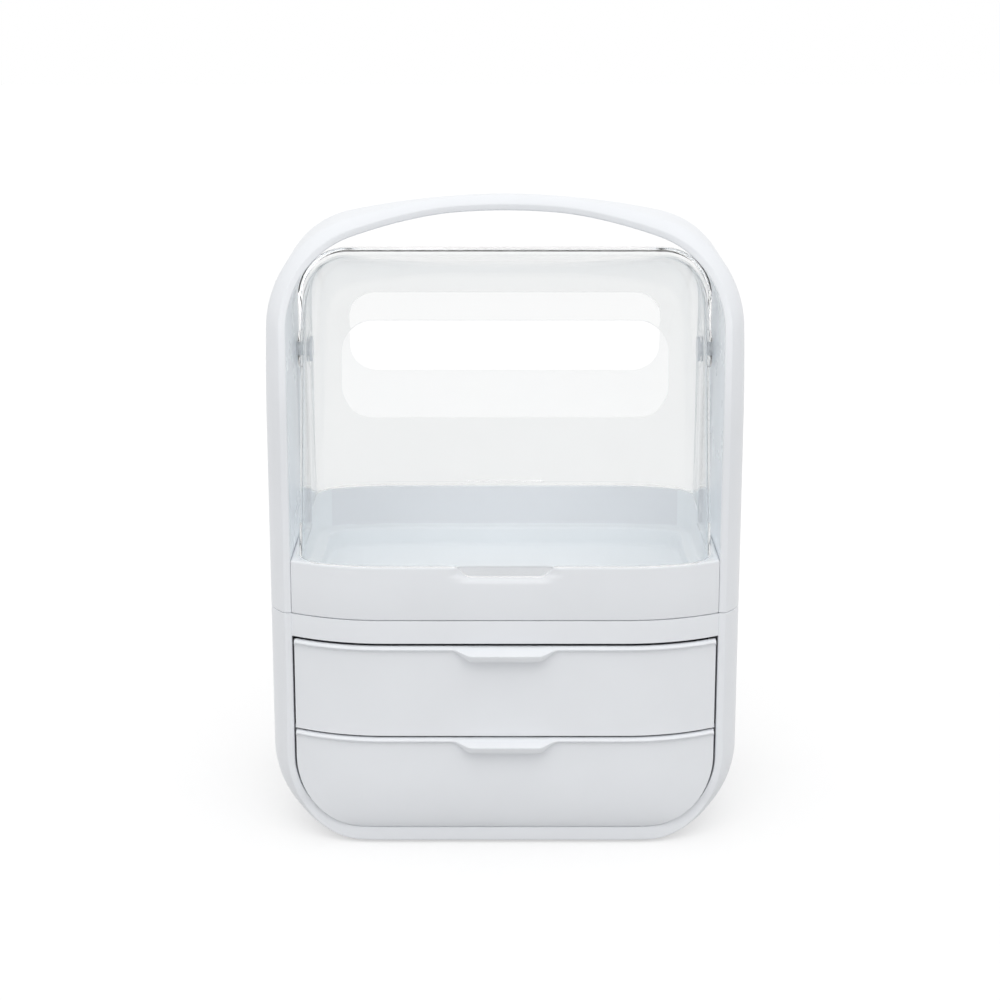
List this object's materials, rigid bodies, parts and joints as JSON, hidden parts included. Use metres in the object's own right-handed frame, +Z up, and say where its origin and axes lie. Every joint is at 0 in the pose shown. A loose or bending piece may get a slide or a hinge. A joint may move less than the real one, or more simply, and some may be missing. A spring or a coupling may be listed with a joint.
{
  "type": "cosmetic organizer box",
  "caption": "Upright cosmetic organizer box: bowed drawers under an open tray, clear front and rear lids that swing up on side pivots, and a hoop that forms the sides and the carrying handle.",
  "frame": {"origin": "on the standing surface under the middle of the box", "axes": "+Z up, the front with the drawer tabs faces -Y, +X to the right seen from the front"},
  "size_m": [0.27, 0.207, 0.3658],
  "materials": {
    "satin_white": "fine satin moulding",
    "liner_white": "smooth, faintly blue",
    "clear_plastic": "polished clear",
    "pin_white": "smooth",
    "washer_nylon": "plain nylon",
    "soft_pad": "matt"
  },
  "bodies": {
    "case": {"base_shell": "satin_white", "divider_shelf": "satin_white", "upper_tray": "satin_white", "hoop_shell": "satin_white", "liner_left": "liner_white", "liner_right": "liner_white", "handle_grip": "liner_white", "pivot_pin_left": "pin_white", "pivot_pin_right": "pin_white", "pivot_washer_left": "washer_nylon", "pivot_washer_right": "washer_nylon", "foot_pad_front_left": "soft_pad", "foot_pad_front_right": "soft_pad", "foot_pad_rear_left": "soft_pad", "foot_pad_rear_right": "soft_pad"},
    "front_lid_body": {"front_lid": "clear_plastic"},
    "rear_lid_body": {"rear_lid": "clear_plastic"},
    "upper_drawer": {"upper_drawer_front": "satin_white", "upper_drawer_tub": "satin_white"},
    "lower_drawer": {"lower_drawer_front": "satin_white", "lower_drawer_tub": "satin_white"}
  },
  "joints": [
    {"name": "front_lid_hinge", "type": "hinge", "parent": "case", "child": "front_lid_body", "pos_m": [0, 0, 0.275], "axis": [-1, 0, 0], "range_deg": [0, 40]},
    {"name": "rear_lid_hinge", "type": "hinge", "parent": "case", "child": "rear_lid_body", "pos_m": [0, 0, 0.275], "axis": [1, 0, 0], "range_deg": [0, 40]},
    {"name": "upper_drawer_slide", "type": "slide", "parent": "case", "child": "upper_drawer", "axis": [0, -1, 0], "range_m": [0, 0.13]},
    {"name": "lower_drawer_slide", "type": "slide", "parent": "case", "child": "lower_drawer", "axis": [0, -1, 0], "range_m": [0, 0.13]}
  ]
}
